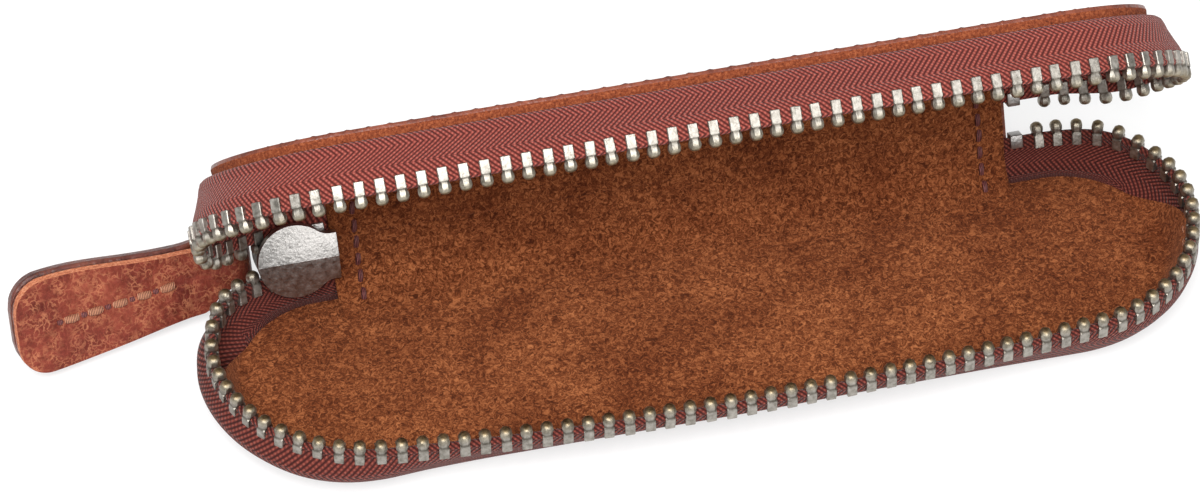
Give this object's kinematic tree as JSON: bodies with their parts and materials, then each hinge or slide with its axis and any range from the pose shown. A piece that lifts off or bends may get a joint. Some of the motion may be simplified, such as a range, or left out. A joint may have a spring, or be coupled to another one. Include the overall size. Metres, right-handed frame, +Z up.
{
  "type": "zip-around pen case",
  "caption": "Slim rounded leather case for one pen, with a zip round its open sides, a folding spine and a leather pull, shown half open.",
  "frame": {"origin": "middle of the bottom panel's underside, below the middle of the zip line", "axes": "+X along the case to the right of the opening, +Y back to the spine, +Z up"},
  "size_m": [0.1355, 0.0417, 0.0378],
  "materials": {
    "leather": "waxed pull-up leather, matt, with scuffs and raw cut edges",
    "suede": "brushed suede",
    "zip_tape": "twill-woven polyester tape",
    "zip_teeth": "antique nickel plate, tumbled",
    "slider_metal": "tumbled nickel plate"
  },
  "bodies": {
    "base": {"bottom_cover": "leather", "floor_lining": "suede", "lower_zip_tape": "zip_tape", "lower_zip_teeth": "zip_teeth"},
    "spine": {"spine_cover": "leather", "spine_lining": "suede", "lower_tape_ends": "zip_tape", "upper_tape_ends": "zip_tape", "lower_end_teeth": "zip_teeth", "upper_end_teeth": "zip_teeth", "bottom_stop": "zip_teeth", "lower_top_stop": "zip_teeth", "upper_top_stop": "zip_teeth"},
    "lid": {"top_cover": "leather", "lid_lining": "suede", "upper_zip_tape": "zip_tape", "upper_zip_teeth": "zip_teeth"},
    "slider": {"slider_body": "slider_metal", "slider_crown": "slider_metal"},
    "pull_ring": {"pull_ring": "slider_metal"},
    "pull_strap": {"pull_strap": "leather"}
  },
  "joints": [
    {"name": "lower_fold", "type": "hinge", "parent": "base", "child": "spine", "pos_m": [0, 0.0177, 0.0014], "axis": [-1, 0, 0], "range_deg": [-25.5, 30]},
    {"name": "upper_fold", "type": "hinge", "parent": "spine", "child": "lid", "pos_m": [0, 0.02373, 0.01404], "axis": [-1, 0, 0], "range_deg": [-25.5, 30]},
    {"name": "slider_travel", "type": "hinge", "parent": "spine", "child": "slider", "pos_m": [-0.0447, 0.00817, 0.0137], "axis": [0, 0.4305, 0.9026], "range_deg": [0, 18.94]},
    {"name": "ring_swing", "type": "hinge", "parent": "slider", "child": "pull_ring", "pos_m": [-0.0456, 0.02265, 0.00679], "axis": [0, -0.4305, -0.9026], "range_deg": [0, 162]},
    {"name": "strap_swing", "type": "hinge", "parent": "pull_ring", "child": "pull_strap", "pos_m": [-0.05167, 0.02149, 0.00735], "axis": [0, -0.4305, -0.9026], "range_deg": [-30, 30]}
  ],
  "couplings": [
    {"joint": "upper_fold", "follows": "lower_fold", "ratio": 1}
  ]
}
